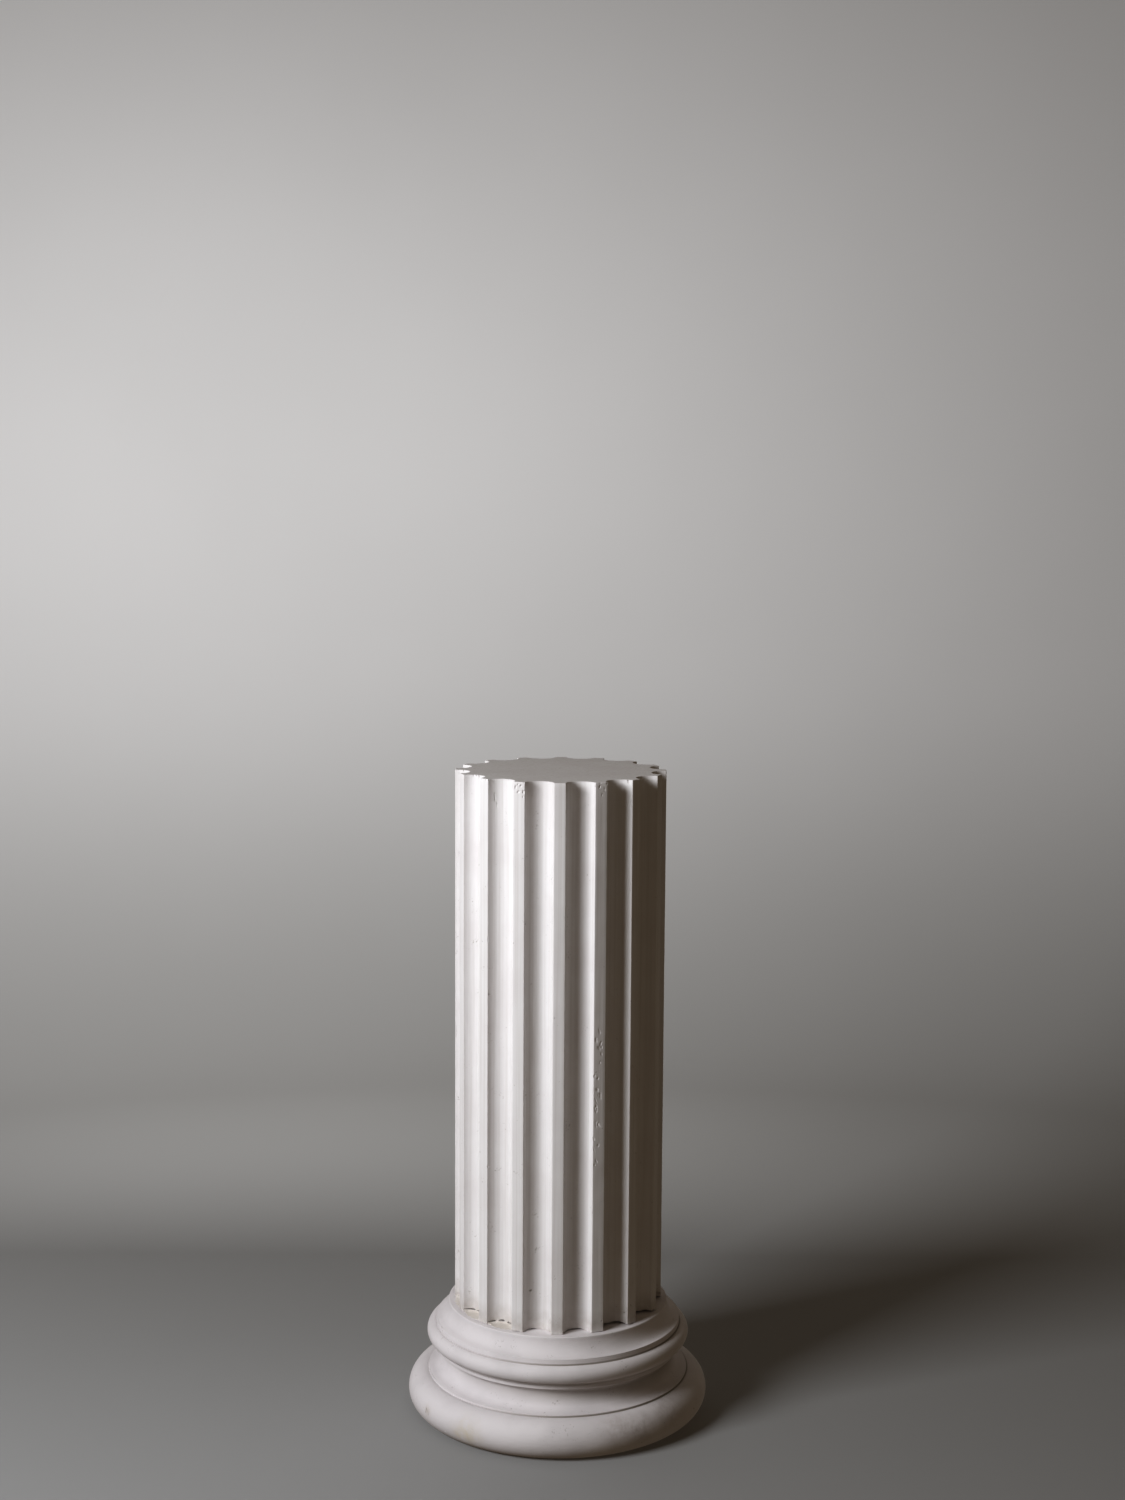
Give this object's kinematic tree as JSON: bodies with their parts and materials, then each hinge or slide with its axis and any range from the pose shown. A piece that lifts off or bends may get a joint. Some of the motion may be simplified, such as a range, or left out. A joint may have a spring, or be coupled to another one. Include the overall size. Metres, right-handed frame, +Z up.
{
  "type": "fluted column pedestal",
  "caption": "Fluted plaster column pedestal: a straight open-fluted shaft with a flat top, standing on a turned base with torus, scotia and cavetto mouldings.",
  "frame": {"origin": "centre of the underside, on the column's axis", "axes": "+Z up along the column's axis; a flat fillet between two flutes faces -Y"},
  "size_m": [0.3544, 0.3544, 0.762],
  "materials": {
    "shaft_plaster": "matt off-white cast plaster",
    "base_plaster": "matt off-white cast plaster, slightly warmer and dirtier"
  },
  "bodies": {
    "root": {"fluted_shaft": "shaft_plaster", "moulded_base": "base_plaster"}
  },
  "joints": []
}
